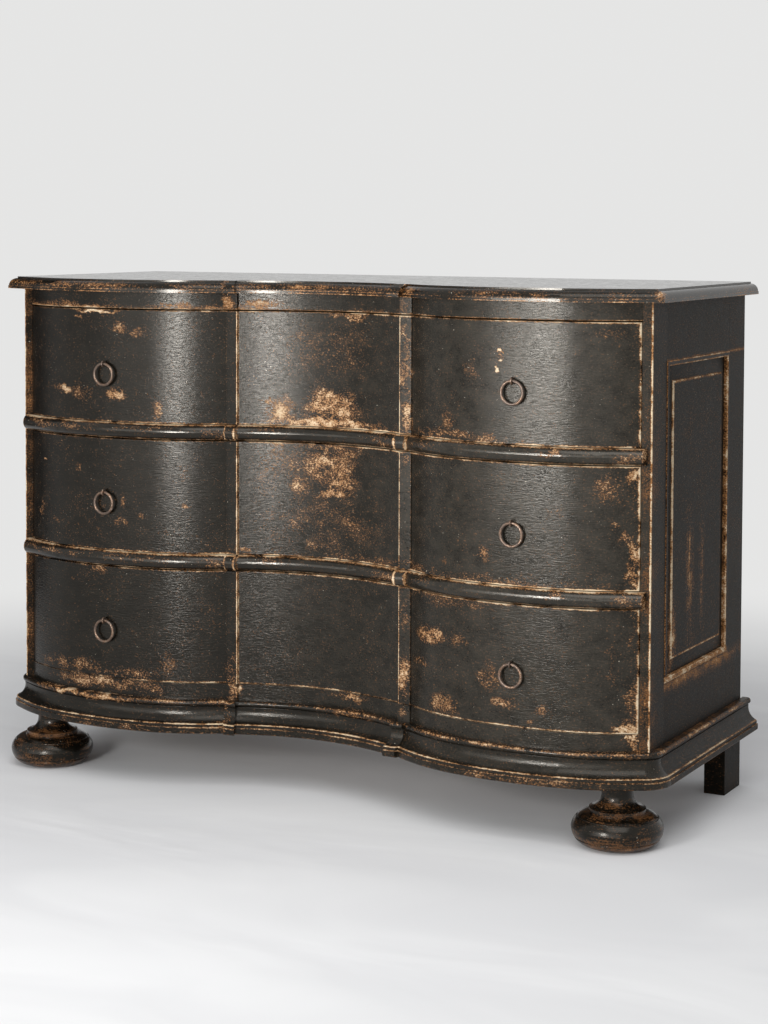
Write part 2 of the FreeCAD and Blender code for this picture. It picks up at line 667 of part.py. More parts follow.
def ring(floor):
    """Right-hand ring, hanging from its eye."""
    centre = pull_centre(floor) - Vector(0, 0, RING_RADIUS)
    return Part.makeTorus(RING_RADIUS, RING_WIRE / 2, centre, Vector(0, 1, 0))


def tails(z0, height):
    """Dovetails on the front end of the right-hand drawer side."""
    pitch = height / TAIL_COUNT
    solids = []
    for i in range(TAIL_COUNT):
        middle = z0 + (i + 0.5) * pitch
        root, tip = pitch * TAIL_ROOT_SHARE / 2, pitch * TAIL_TIP_SHARE / 2
        x0, end = BOX_X - DRAWER_SIDE, SHOULDER_Y - TAIL_LENGTH
        points = [Vector(x0, SHOULDER_Y, middle - root), Vector(x0, end, middle - tip),
                  Vector(x0, end, middle + tip), Vector(x0, SHOULDER_Y, middle + root)]
        solids.append(prism(points, ACROSS * DRAWER_SIDE))
    return solids


def drawer(floor):
    """The five boards of one drawer and its staples."""
    z0 = floor + RUNNING_GAP
    height = DRAWER_OPENING - DRAWER_SIDE_DROP
    front_z0, front_z1 = floor + DRAWER_GAP_BELOW, floor + DRAWER_OPENING - DRAWER_GAP_ABOVE
    groove_x = BOX_X - DRAWER_SIDE + DRAWER_GROOVE
    bottom_z = z0 + DRAWER_BOTTOM_RISE
    inset = DRAWER_FRONT - DRAWER_GROOVE
    bottom = inset_plank(inset, groove_x, DRAWER_END_Y, bottom_z, bottom_z + DRAWER_BOTTOM)
    back_y = DRAWER_END_Y - DRAWER_BACK_SET - DRAWER_BACK
    back = box(-groove_x, groove_x, back_y, back_y + DRAWER_BACK,
               bottom_z + DRAWER_BOTTOM, z0 + height - DRAWER_BACK_DROP)
    side_tails = tails(z0, height)
    side = box(BOX_X - DRAWER_SIDE, BOX_X, SHOULDER_Y, DRAWER_END_Y, z0, z0 + height)
    side = joined([side] + side_tails).cut(bottom).cut(back)
    outer, inner = line_end(0, FRONT_END_X), line_end(DRAWER_FRONT, FRONT_END_X)
    end = Part.makeLine(outer, inner)
    band = slab(front_edges(FRONT_END_X) + inner_edges(DRAWER_FRONT, FRONT_END_X) + [end, mirrored(end)],
                front_z0, front_z1)
    block = box(BOX_X - DRAWER_SIDE - END_BLOCK, BOX_X, 0, SHOULDER_Y, front_z0, front_z1)
    rebate = box(BOX_X, HALF_WIDTH, DRAWER_LIP, FRONT_STILE_DEPTH, front_z0, front_z1)
    pin = staple(floor)
    cuts = [bottom, rebate, mirrored(rebate), pin, mirrored(pin)]
    cuts += side_tails + [mirrored(tail) for tail in side_tails]
    front = joined([band, block, mirrored(block)]).cut(Part.makeCompound(cuts))
    return {"front": front, "side_right": side, "side_left": mirrored(side), "back": back, "bottom": bottom,
            "staples": pair(pin)}


def all_nodes():
    rails, rail_tenons = front_rails()
    nodes = dict(rails)
    sides = side_frame(rail_tenons)
    for name, shape in sides.items():
        nodes[name + "_right"] = shape
        nodes[name + "_left"] = mirrored(shape)
    stiles = [nodes["front_stile_right"], nodes["front_stile_left"]]
    for name, floor in zip(("lower", "upper"), FLOORS[1:]):
        backing = Part.makeCompound(stiles + [nodes[name + "_divider"]])
        nodes[name + "_nosing"] = nosing(floor, backing)
    nodes.update(base_mouldings(Part.makeCompound(stiles + [nodes["plinth_rail"]])))
    nodes.update(top_pieces())
    nodes.update(carcase_inside())
    foot = bun_foot()
    nodes["bun_foot_right"] = foot
    nodes["bun_foot_left"] = mirrored(foot)
    hole = Part.makeCylinder(DOWEL_RADIUS + DOWEL_CLEARANCE, DOWEL_LENGTH + DOWEL_CLEARANCE,
                             Vector(FOOT_X, FOOT_Y, FOOT_HEIGHT))
    nodes["plinth_rail"] = nodes["plinth_rail"].cut(pair(hole))
    for name, floor in zip(DRAWER_NAMES, FLOORS):
        for piece, shape in drawer(floor).items():
            nodes[name + "_drawer_" + piece] = shape
        nodes[name + "_ring_right"] = ring(floor)
        nodes[name + "_ring_left"] = mirrored(ring(floor))
    return nodes


def main():
    os.makedirs("parts", exist_ok=True)
    for name, shape in all_nodes().items():
        shape.translate(Vector(0, -ORIGIN_Y, 0))
        shape.exportStep("parts/" + name + ".step")


main()
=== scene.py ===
import json
import math

import bmesh
import bpy
from mathutils import Matrix, Vector


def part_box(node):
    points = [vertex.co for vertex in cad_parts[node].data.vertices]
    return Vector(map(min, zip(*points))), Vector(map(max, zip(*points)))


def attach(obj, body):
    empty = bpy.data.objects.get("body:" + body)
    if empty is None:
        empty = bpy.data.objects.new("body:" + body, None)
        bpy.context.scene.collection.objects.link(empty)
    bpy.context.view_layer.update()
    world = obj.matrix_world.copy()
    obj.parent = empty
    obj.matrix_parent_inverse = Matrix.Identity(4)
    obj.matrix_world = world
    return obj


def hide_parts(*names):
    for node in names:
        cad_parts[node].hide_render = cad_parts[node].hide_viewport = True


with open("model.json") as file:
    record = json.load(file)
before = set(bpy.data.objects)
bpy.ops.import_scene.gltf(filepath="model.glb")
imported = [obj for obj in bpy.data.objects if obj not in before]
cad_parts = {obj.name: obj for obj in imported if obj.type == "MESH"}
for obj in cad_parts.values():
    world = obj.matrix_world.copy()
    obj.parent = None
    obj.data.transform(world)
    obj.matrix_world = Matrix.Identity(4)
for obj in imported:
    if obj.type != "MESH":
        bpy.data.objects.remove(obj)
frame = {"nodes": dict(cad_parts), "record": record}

# A black-painted serpentine chest of drawers, its paint rubbed through to the wood.
# Metres, in the frame of the solids: the floor is z = 0 and the front is towards -Y.
nodes = frame["nodes"]
bodies = frame["record"]["behaviour"]["bodies"]
body_of = {node: body for body, members in bodies.items() for node in members}
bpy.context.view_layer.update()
scene = bpy.context.scene

# Levels and lines of the chest that its wear follows
STILE_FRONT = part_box("front_stile_right")[0].y
HALF_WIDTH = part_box("front_stile_right")[1].x
BODY_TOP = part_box("frieze_rail")[1].z
PLINTH_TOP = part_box("plinth_rail")[1].z
BASE_LOW, BASE_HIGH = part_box("base_moulding_right")
PANEL_LOW, PANEL_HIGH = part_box("panel_bead_right")
FILLET_X = 0.167
FILLET_HALF = 0.011
FIELD_INSET = 0.034
BEAD_FACE = HALF_WIDTH + 0.0015
DRAWERS = ("upper", "middle", "lower")
SIDES = ("left", "right")
BACK_BOARDS = 3

# Roundings of worn arrises, the gap between back boards, and the depth of relief in a finish
DRAWER_ROUND = 0.0018
RAIL_ROUND = 0.0014
PANEL_ROUND = 0.0007
POST_ROUND = 0.0012
BOARD_ROUND = 0.0016
BOARD_GAP = 0.0006
RELIEF_DEPTH = 0.0005

# How the arrises of a node's mesh are found
WELD = 2e-5
SHORTEST_EDGE = 0.001
FLAT_ANGLE = math.radians(0.4)
ARRIS_ANGLE = math.radians(28)
SMOOTH_ANGLE = math.radians(32)
FRONT_TURN = 0.3
SIDE_TURN = 0.5
OUTER_SKIN = 0.012


class Tone:
    """A socket in a material. Sums, products and the like of tones add Math nodes."""

    def __init__(self, finish, socket):
        self.finish = finish
        self.socket = socket

    def math(self, operation, *others):
        return self.finish.node("ShaderNodeMath", {"operation": operation}, dict(enumerate((self,) + others)))

    def __add__(self, other):
        return self.math("ADD", other)

    def __sub__(self, other):
        return self.math("SUBTRACT", other)

    def __rsub__(self, other):
        return self.finish.node("ShaderNodeMath", {"operation": "SUBTRACT"}, {0: other, 1: self})

    def __mul__(self, other):
        return self.math("MULTIPLY", other)

    def __truediv__(self, other):
        return self.math("DIVIDE", other)

    def __abs__(self):
        return self.math("ABSOLUTE")

    __radd__ = __add__
    __rmul__ = __mul__

    def over(self, other):
        return self.math("MAXIMUM", other)

    def under(self, other):
        return self.math("MINIMUM", other)

    def fade(self, low, high):
        """Soft step from 0 at low to 1 at high."""
        return self.finish.node("ShaderNodeMapRange", {"interpolation_type": "SMOOTHSTEP"},
                                {"Value": self, "From Min": low, "From Max": high})

    def near(self, level, width):
        """1 at the level, falling to 0 at the width on both sides of it."""
        return (1 - abs(self - level) / width).over(0.0)


class Finish:
    """The nodes of a material, or of the world, in the making."""

    def __init__(self, name, kind=bpy.data.materials):
        self.block = kind.new(name)
        self.block.use_nodes = True
        self.tree = self.block.node_tree
        self.tree.nodes.clear()
        self.origin = None

    @property
    def place(self):
        if self.origin is None:
            self.origin = self.node("ShaderNodeTexCoord", out="Object")
        return self.origin

    def node(self, kind, settings=None, sockets=None, out=0):
        """A node by its type, with its settings first and then the values or links of its sockets."""
        made = self.tree.nodes.new(kind)
        for key, value in (settings or {}).items():
            setattr(made, key, value)
        for key, value in (sockets or {}).items():
            target = self.socket(made.inputs, key)
            if isinstance(value, Tone):
                self.tree.links.new(value.socket, target)
            else:
                target.default_value = value
        return Tone(self, self.socket(made.outputs, out)) if made.outputs else None

    def socket(self, sockets, key):
        """A node's socket by its identifier, name or number."""
        return {socket.identifier: socket for socket in sockets}.get(key) or sockets[key]

    def axes(self):
        split = self.node("ShaderNodeSeparateXYZ", sockets={0: self.place})
        return [Tone(self, socket) for socket in split.socket.node.outputs]

    def vector(self, operation, vector, other, out=0):
        return self.node("ShaderNodeVectorMath", {"operation": operation}, {0: vector, 1: other}, out)

    def noise(self, stretch, detail=3.0, rough=0.6, warp=0.0, out=0):
        """Noise whose grains are about a metre over the stretch along each axis."""
        return self.node("ShaderNodeTexNoise", sockets={
            "Vector": self.vector("MULTIPLY", self.place, stretch), "Scale": 1.0, "Detail": detail,
            "Roughness": rough, "Distortion": warp}, out=out)

    def mix(self, low, high, share):
        return self.node("ShaderNodeMix", {"data_type": "RGBA"},
                         {"Factor_Float": share, "A_Color": low, "B_Color": high}, "Result_Color")

    def bump(self, height, strength, depth=RELIEF_DEPTH):
        return self.node("ShaderNodeBump", sockets={
            "Height": height, "Distance": depth, "Strength": strength})

    def seen(self):
        """1 for the rays that show the background, straight, mirrored or through glass."""
        paths = self.node("ShaderNodeLightPath").socket.node.outputs
        straight, mirrored, through = (Tone(self, paths[key]) for key in
                                       ("Is Camera Ray", "Is Glossy Ray", "Is Transmission Ray"))
        return straight.over(mirrored).over(through)

    def coat(self, sockets):
        """Closes a material with a Principled surface."""
        return self.close(self.node("ShaderNodeBsdfPrincipled", sockets=sockets))

    def close(self, surface, kind="ShaderNodeOutputMaterial"):
        self.node(kind, sockets={"Surface": surface})
        return self.block


# Colours of the layers, as light returned
BLACK_PAINT = (0.0032, 0.0027, 0.0018, 1)
RUBBED_PAINT = (0.0078, 0.0066, 0.0048, 1)
# Painted light: a paler paint laid towards the right of the front, where more light falls
PAINTED_LIGHT_COLOUR = (0.030, 0.0265, 0.0205, 1)
BROWN_GROUND = (0.098, 0.043, 0.016, 1)
ORANGE_WOOD = (0.30, 0.142, 0.052, 1)
TAN_WOOD = (0.45, 0.30, 0.168, 1)
CREAM_WOOD = (0.60, 0.485, 0.335, 1)
PALE_FLECK = (0.40, 0.36, 0.29, 1)
PAINT_GLOSS = (1.0, 0.945, 0.855, 1)

# Rubbing at which the paint thins to its ground and wears through, and the wood turns tan and cream
THIN_PAINT = (0.60, 0.72)
BARE_WOOD = (0.715, 0.80)
TAN_FROM = (0.74, 0.96)
CREAM_FROM = (1.0, 1.22)

# Wandering of a patch's outline in metres, the amount in its core, and its reach in half sizes
PATCH_DRIFT = (0.045, 0, 0.034)
PATCH_CORE = 0.8
PATCH_REACH = 1.3


def blotches(finish, patches):
    """Amount of wear from patches: centre x and z, half sizes, and strength. Their outlines wander."""
    drift = finish.noise((30, 30, 38), 3.0, out="Color")
    drift = finish.vector("MULTIPLY", finish.vector("SUBTRACT", drift, (0.5, 0.5, 0.5)), PATCH_DRIFT)
    place = finish.vector("ADD", finish.place, drift)
    total = None
    for x, z, half_x, half_z, strength in patches:
        offset = finish.vector("SUBTRACT", place, (x, 0, z))
        offset = finish.vector("MULTIPLY", offset, (1 / half_x, 0, 1 / half_z))
        reach = finish.node("ShaderNodeVectorMath", {"operation": "LENGTH"}, {0: offset}, "Value")
        part = (PATCH_REACH - reach).over(0.0).under(PATCH_CORE) * strength
        total = part if total is None else total.over(part)
    return total


def worn_paint(name, wear, tint=0.5, gloss=0.2, shine=0.28, ground=0.0, relief=0.62, grain=1.15,
               painted_light=0.0, painted_light_to=None):
    """Black paint in fine level ripples, painted paler towards the right as painted light, rubbed through to
    a brown ground and to wood.

    The wear function gives an amount of rubbing and the strength of the lines along rounded arrises.
    The painted light stops behind the plane given by the last argument, if that is given."""
    finish = Finish(name)
    x, y, z = finish.axes()
    broad = finish.noise((7, 7, 9), 2.0)
    clump = finish.noise((36, 36, 50), 3.0)
    speck = finish.noise((300, 300, 420), 4.0, 0.7)
    ripple = finish.noise((95, 95, 640), 2.0, 0.5, 0.6)
    fibre = finish.noise((120, 120, 420), 3.0, 0.6)
    fleck = finish.noise((330, 330, 330), 1.0)
    patch, line = wear(finish, x, y, z, broad, clump)
    worn = patch * (clump * 2.4 - 0.35).over(0.2) * 0.48
    if line is not None:
        edge = finish.node("ShaderNodeAttribute", {"attribute_name": "arris"}, out="Fac")
        worn = worn.over(edge * line * (clump * 1.8).over(0.5) * 0.68)
    rubbed = (speck - 0.5) * grain + 0.5 + worn + (broad - 0.5) * 0.12
    thin = (rubbed + ground + (clump - 0.5) * 0.16).fade(*THIN_PAINT)
    bare = rubbed.fade(*BARE_WOOD)
    paint = finish.mix(BLACK_PAINT, RUBBED_PAINT, (clump * 0.6 + ripple * 0.5).fade(0.42, 0.72))
    # Painted light: the paint turns paler towards the right, in grains, standing in for the stronger light
    # there
    if painted_light:
        painted_light_share = x.fade(-0.3, 0.5) * (clump * 0.5 + speck * 0.6).fade(0.3, 0.75) * painted_light
        if painted_light_to is not None:
            painted_light_share = painted_light_share * (1 - (y - painted_light_to).fade(0.001, 0.004))
        paint = finish.mix(paint, PAINTED_LIGHT_COLOUR, painted_light_share)
    paler = (rubbed + (clump - 0.5) * 0.5 + tint - 0.5).fade(*TAN_FROM)
    wood = finish.mix(ORANGE_WOOD, TAN_WOOD, paler)
    wood = finish.mix(wood, CREAM_WOOD, (rubbed + clump * 0.3).fade(*CREAM_FROM))
    wood = finish.mix(wood, BROWN_GROUND, fibre.fade(0.52, 0.7) * 0.5)
    colour = finish.mix(finish.mix(paint, BROWN_GROUND, thin), wood, bare)
    colour = finish.mix(colour, PALE_FLECK, (fleck + worn * 0.1).fade(0.775, 0.815))
    height = ripple * 1.3 + speck * 0.45 + clump * 0.3 - bare * 0.55
    rough = gloss + (ripple - 0.5) * 0.24 + (clump - 0.5) * 0.14 + bare * 0.3
    return finish.coat({"Base Color": colour,
                        "Roughness": rough,
                        "Specular IOR Level": shine,
                        "Specular Tint": PAINT_GLOSS,
                        "Normal": finish.bump(height, relief)})


# Wear of each piece: widths and places are metres, the other numbers are strengths
def drawer_wear(low, high, side, patches):
    """Frayed tan lines along the edges and fillets of a drawer's front, most on the right, and patches."""
    def wear(finish, x, y, z, broad, clump):
        fray = (broad * 2.2 + clump * 1.4 - 0.95).over(0.12) * (0.8 + x * 0.6)
        fillets = abs(x).near(FILLET_X - 0.0103, 0.0017) * 1.2
        hem = (z.near(low, 0.0034) * 1.3).over(z.near(high, 0.0032))
        hem = hem.over(x.near(side, 0.0046) * 1.2) * fray
        rim = (1 - (side - x) / 0.016).over(0.0) * (broad * 2.0 - 0.6).over(0.0)
        outer = abs(x).near(FILLET_X + FILLET_HALF, 0.005) * 0.35
        edges = fillets.over(hem)
        return (rim * 0.6).over(edges).over(blotches(finish, patches)), edges.over(outer)
    return wear


# Worn patches of the drawers: centre x and z, half sizes, and strength
UPPER_PATCHES = [
    (-0.407, 0.821, 0.051, 0.0035, 1.2), (-0.448, 0.811, 0.012, 0.0035, 0.8),
    (-0.357, 0.792, 0.019, 0.009, 0.6), (-0.325, 0.787, 0.017, 0.008, 0.55),
    (-0.481, 0.682, 0.023, 0.007, 0.75), (-0.442, 0.677, 0.021, 0.015, 0.42),
    (-0.367, 0.677, 0.023, 0.010, 0.75), (-0.287, 0.653, 0.010, 0.020, 0.5),
    (-0.089, 0.652, 0.031, 0.024, 0.75), (0.010, 0.661, 0.060, 0.036, 0.78),
    (0.000, 0.636, 0.110, 0.009, 0.95), (-0.041, 0.778, 0.028, 0.013, 0.36),
    (0.013, 0.783, 0.015, 0.016, 0.4), (0.040, 0.819, 0.046, 0.006, 0.6),
    (-0.046, 0.744, 0.042, 0.023, 0.25), (0.265, 0.660, 0.014, 0.022, 0.45),
    (0.309, 0.745, 0.015, 0.021, 0.35), (0.364, 0.764, 0.009, 0.009, 0.4),
    (0.539, 0.806, 0.029, 0.010, 0.35), (0.279, 0.637, 0.121, 0.007, 0.5),
    (0.364, 0.772, 0.0026, 0.0030, 1.6), (0.366, 0.757, 0.0034, 0.0030, 1.6),
    (0.358, 0.744, 0.0026, 0.0040, 1.7), (0.168, 0.660, 0.010, 0.034, 0.66),
    (0.168, 0.745, 0.010, 0.070, 0.5), (0.000, 0.760, 0.10, 0.05, 0.2)]
MIDDLE_PATCHES = [
    (-0.538, 0.552, 0.004, 0.0025, 1.2), (-0.449, 0.546, 0.006, 0.009, 0.45),
    (-0.549, 0.464, 0.008, 0.013, 0.4), (-0.505, 0.445, 0.008, 0.007, 0.4),
    (-0.352, 0.488, 0.006, 0.014, 0.5), (-0.359, 0.456, 0.012, 0.010, 0.42),
    (-0.313, 0.469, 0.010, 0.005, 0.45), (-0.234, 0.484, 0.005, 0.004, 0.6),
    (-0.238, 0.545, 0.010, 0.014, 0.3), (-0.091, 0.592, 0.014, 0.009, 0.5),
    (-0.002, 0.588, 0.072, 0.017, 0.66), (-0.053, 0.536, 0.021, 0.036, 0.56),
    (0.010, 0.516, 0.047, 0.009, 0.72), (0.028, 0.541, 0.031, 0.031, 0.55),
    (-0.100, 0.544, 0.032, 0.042, 0.26), (-0.058, 0.463, 0.012, 0.009, 0.5),
    (-0.011, 0.465, 0.008, 0.009, 0.4), (0.051, 0.471, 0.030, 0.015, 0.42),
    (-0.025, 0.422, 0.022, 0.013, 0.36), (-0.150, 0.412, 0.014, 0.007, 0.6),
    (0.571, 0.585, 0.012, 0.016, 0.85), (0.574, 0.440, 0.010, 0.050, 0.85),
    (0.536, 0.564, 0.023, 0.027, 0.36), (0.542, 0.508, 0.010, 0.009, 0.4),
    (0.559, 0.488, 0.011, 0.010, 0.55), (0.334, 0.452, 0.013, 0.010, 0.75),
    (0.338, 0.440, 0.009, 0.007, 0.5), (0.257, 0.433, 0.007, 0.007, 0.4),
    (0.460, 0.525, 0.021, 0.008, 0.24), (0.22, 0.412, 0.35, 0.008, 0.34),
    (0.002, 0.556, 0.060, 0.040, 0.66), (0.000, 0.465, 0.12, 0.055, 0.24),
    (-0.085, 0.560, 0.050, 0.035, 0.34), (0.168, 0.590, 0.009, 0.016, 0.5)]
LOWER_PATCHES = [
    (-0.462, 0.346, 0.004, 0.004, 0.7), (-0.404, 0.371, 0.014, 0.008, 0.5),
    (-0.464, 0.196, 0.073, 0.012, 0.5), (-0.340, 0.191, 0.053, 0.010, 0.52),
    (-0.269, 0.212, 0.015, 0.021, 0.28), (0.226, 0.308, 0.028, 0.015, 0.9),
    (0.285, 0.309, 0.026, 0.012, 0.38), (0.205, 0.260, 0.010, 0.007, 0.42),
    (0.347, 0.256, 0.022, 0.023, 0.48), (0.259, 0.199, 0.028, 0.018, 0.58),
    (0.376, 0.217, 0.026, 0.010, 0.5), (0.443, 0.213, 0.019, 0.011, 0.52),
    (0.420, 0.194, 0.006, 0.005, 0.6), (0.565, 0.190, 0.017, 0.010, 0.85),
    (0.571, 0.238, 0.010, 0.028, 0.46), (0.547, 0.291, 0.005, 0.038, 0.34),
    (0.576, 0.341, 0.005, 0.038, 0.4), (0.261, 0.371, 0.082, 0.010, 0.4),
    (0.168, 0.222, 0.010, 0.036, 0.85), (-0.168, 0.205, 0.010, 0.030, 0.6),
    (0.168, 0.330, 0.009, 0.030, 0.4)]


def frieze_wear(finish, x, y, z, broad, clump):
    """Orange along the lower edge, most on the left, and bare at the fillets."""
    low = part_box("frieze_rail")[0].z
    foot = z.near(low, 0.005) * (0.62 - x * 0.8 + broad * 0.4).over(0.25)
    band = z.near(low, 0.0085) * (0.3 - x * 0.9 + (broad - 0.5) * 1.5).over(0.0)
    patch = blotches(finish, [
        (-FILLET_X - 0.006, low + 0.012, 0.013, 0.018, 1.0), (-0.12, low + 0.008, 0.034, 0.010, 0.7),
        (-0.50, low + 0.004, 0.09, 0.006, 0.5), (FILLET_X, low + 0.014, 0.012, 0.016, 0.35),
        (-0.245, low + 0.003, 0.06, 0.004, 0.55)])
    return patch.over(band).over(z.near(low, 0.0022) * 0.85), foot


def plinth_wear(finish, x, y, z, broad, clump):
    """A line along the upper edge, and bare at the ends and fillets."""
    patch = blotches(finish, [
        (-0.40, 0.172, 0.12, 0.012, 0.55), (-0.285, 0.168, 0.008, 0.013, 0.7),
        (-FILLET_X, 0.165, 0.010, 0.024, 0.8), (0.05, 0.172, 0.035, 0.006, 0.6),
        (0.574, 0.168, 0.007, 0.022, 0.8), (FILLET_X, 0.172, 0.010, 0.010, 0.4)])
    fillets = abs(x).near(FILLET_X - FILLET_HALF, 0.005) * 0.7
    return patch, (z.near(PLINTH_TOP, 0.004) * (broad + 0.35)).over(fillets)


def nosing_wear(node):
    """Broken lines along the upper and lower edges of a half-round, and rubbed breaks and ends."""
    low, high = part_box(node)

    def wear(finish, x, y, z, broad, clump):
        edge = z.near(low.z, 0.0026).over(z.near(high.z, 0.0032)) * (broad * 2.2 - 0.1).over(0.3)
        ends = abs(x).near(high.x, 0.0035) * 0.6
        breaks = abs(x).near(FILLET_X - 0.013, 0.004).over(abs(x).near(FILLET_X + 0.007, 0.004)) * 0.9
        middle = (low.z + high.z) / 2
        patch = blotches(finish, [
            (-0.50, middle + 0.004, 0.10, 0.006, 0.62), (-0.32, middle + 0.005, 0.08, 0.005, 0.45),
            (-0.19, middle, 0.022, 0.010, 0.6), (-0.10, middle + 0.004, 0.03, 0.006, 0.5),
            (0.12, middle, 0.025, 0.008, 0.55), (0.21, middle + 0.004, 0.03, 0.006, 0.5),
            (0.46, middle + 0.005, 0.022, 0.005, 0.9), (0.57, middle, 0.025, 0.010, 0.5)])
        return edge.over(ends).over(breaks).over(patch * 0.72), None
    return wear


def stile_wear(finish, x, y, z, broad, clump):
    """A bright line down the front arris, and specks on the faces beside it."""
    corner = (HALF_WIDTH - abs(x)) + (y - STILE_FRONT)
    line = (1 - corner / 0.0038).over(0.0) * (1.2 + clump)
    beside = (1 - corner / 0.04).over(0.0) * (broad * 1.8 - 0.65).over(0.0)
    return line.over(beside * 0.7), None


def side_wear(finish, x, y, z, broad, clump):
    """Rubbed below the panel, under the top and along the outer edges of the framing."""
    below = z.near(PANEL_LOW.z - 0.006, 0.018) * (broad * 1.4 - 0.25).over(0.0)
    above = z.near(PANEL_HIGH.z, 0.004) * 0.5
    under = (1 - (BODY_TOP - z) / 0.016).over(0.0) * (1 - abs(y - STILE_FRONT) / 0.20).over(0.0) * 0.6
    rear = y.near(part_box("rear_post_right")[1].y, 0.004) * 0.5
    return below.over(above).over(under), rear


def inward(y, z):
    """Distance in from the edges of a side panel's opening."""
    return (y - PANEL_LOW.y).under(PANEL_HIGH.y - y).under(z - PANEL_LOW.z).under(PANEL_HIGH.z - z)


def panel_wear(finish, x, y, z, broad, clump):
    """Tan arrises round the field, most in front, and pale scratches down its lower part."""
    front = 1 - (y - PANEL_LOW.y).fade(0.040, 0.060)
    foot = 1 - (z - PANEL_LOW.z).fade(0.036, 0.050)
    head = 1 - (PANEL_HIGH.z - z).fade(0.036, 0.050)
    share = (front * 1.5).over(foot * 0.9).over(head * 0.8).over(0.3)
    ring = inward(y, z).near(FIELD_INSET + 0.001, 0.0035) * share
    run = finish.noise((60, 300, 12), 3.0)
    columns = y.near(-0.008, 0.024).over(y.near(0.050, 0.018) * 0.7)
    scratch = z.near(0.40, 0.13) * columns * (run * 5.0 - 1.9).over(0.0)
    smear = z.near(0.315, 0.075) * y.near(PANEL_LOW.y + 0.040, 0.022)
    return ring.over(scratch).over(smear * 0.8), share


def bead_wear(finish, x, y, z, broad, clump):
    """Worn lines along both rounds of the bead, its rear inner face bare and its lower length rubbed."""
    inset = inward(y, z)
    depth = BEAD_FACE - abs(x)
    front = 1 - (y - PANEL_LOW.y).fade(0.009, 0.014)
    foot = 1 - (z - PANEL_LOW.z).fade(0.009, 0.014)
    lines = inset.near(0.0010, 0.0020).over(inset.near(0.0080, 0.0022)) * (1.15 - front * 0.6)
    wall = inset.fade(0.0080, 0.0086) * depth.near(0.0030, 0.0042) * 0.8
    return lines.over(wall).over(foot * (broad + 0.2)), None


def top_wear(finish, x, y, z, broad, clump):
    """Golden-brown rubbing on the moulded edge, and bare wood at the fillets and corners."""
    edge = z.near(BODY_TOP + 0.011, 0.009) * (broad * 2.0 - 0.5 - x * 0.3).over(0.0)
    lip = z.near(BODY_TOP + 0.0005, 0.0026).over(z.near(BODY_TOP + 0.0052, 0.0018))
    lip = lip * (broad * 1.5 - 0.2).over(0.15)
    corner = abs(x).near(HALF_WIDTH + 0.018, 0.014).under(y.near(STILE_FRONT - 0.01, 0.022))
    fillet = abs(x).near(FILLET_X + 0.004, 0.009).under(y.near(STILE_FRONT - 0.012, 0.03))
    return (edge * 0.6).over(lip).over(corner * 0.55).over(fillet * 0.6), None


def base_wear(finish, x, y, z, broad, clump):
    """Thin tan lines on the arrises of the band and fillet, and a rubbed bead with bare patches."""
    foot, head = BASE_LOW.z, BASE_HIGH.z
    band = foot + 0.011
    lines = (z.near(band, 0.0015) * 0.55).over(z.near(band + 0.006, 0.0015)) * (broad * 1.6 + 0.15)
    bead = z.near(head - 0.0025, 0.0042) * (broad * 1.5 - 0.3 + x * 0.3).over(0.0)
    patch = blotches(finish, [
        (-0.43, head - 0.004, 0.12, 0.006, 1.2), (0.055, head - 0.005, 0.040, 0.005, 0.75),
        (0.56, head - 0.003, 0.045, 0.006, 0.6), (-FILLET_X, foot + 0.03, 0.010, 0.03, 0.4),
        (0.40, foot + 0.006, 0.16, 0.006, 0.45), (-0.36, foot + 0.004, 0.14, 0.005, 0.4)])
    return lines.over(bead).over(patch * 0.85).over(z.near(foot + 0.001, 0.003) * 0.3), None


def foot_wear(finish, x, y, z, broad, clump):
    """Turned feet rubbed brown in level streaks, most round the collar and towards the sole."""
    ring = (1 - z / 0.030).over(0.0).under(0.6).over(z.near(0.056, 0.012) * 0.6)
    streak = finish.noise((16, 16, 190), 3.0)
    return (ring * (broad * 0.7 + 0.05) + (streak - 0.47)).over(0.0), None


ACROSS_GRAIN, ALONG_GRAIN = 95.0, 3.2


def timber(name, along, dark, light, dirt=0.5, courses=None):
    """Bare old boards with the grain along one axis.

    Courses are level boards, each with a tone of its own: the foot of the lowest and their height."""
    finish = Finish(name)
    stretch = [ALONG_GRAIN if axis == along else ACROSS_GRAIN for axis in "xyz"]
    rings = finish.noise(stretch, 4.0, 0.55, 0.5)
    fibre = finish.noise([s * 7 for s in stretch], 2.0)
    grime = finish.noise((6, 6, 6), 3.0)
    shade = rings + (fibre - 0.5) * 0.35
    if courses:
        low, tall = courses
        course = (finish.axes()[2] - low) / tall
        shade = shade + (course.math("FLOOR") * 0.38).math("FRACT") * 0.3 - 0.15
    colour = finish.mix(dark, light, shade.fade(0.3, 0.72))
    colour = finish.mix(colour, [c * 0.42 for c in dark[:3]] + [1], grime.fade(0.5, 0.8) * dirt)
    return finish.coat({"Base Color": colour, "Roughness": 0.66 + (fibre - 0.5) * 0.3,
                        "Specular IOR Level": 0.3,
                        "Normal": finish.bump(rings * 0.6 + fibre * 0.5, 0.5)})


IRON_DARK = (0.115, 0.085, 0.068, 1)
IRON_RUST = (0.18, 0.10, 0.058, 1)
IRON_RUBBED = (0.36, 0.30, 0.25, 1)


def rusty_iron(name):
    """Hand-forged iron, dark with brown rust and a few rubbed spots."""
    finish = Finish(name)
    pits = finish.noise((420, 420, 420), 4.0, 0.65)
    cloud = finish.noise((90, 90, 90), 3.0)
    colour = finish.mix(IRON_DARK, IRON_RUST, (cloud * 0.7 + pits * 0.4).fade(0.45, 0.7))
    colour = finish.mix(colour, IRON_RUBBED, (pits + cloud * 0.35).fade(0.70, 0.88))
    return finish.coat({"Base Color": colour, "Metallic": 0.78 + (cloud - 0.5) * 0.3,
                        "Roughness": 0.38 + (pits - 0.5) * 0.4,
                        "Normal": finish.bump(pits, 0.6)})


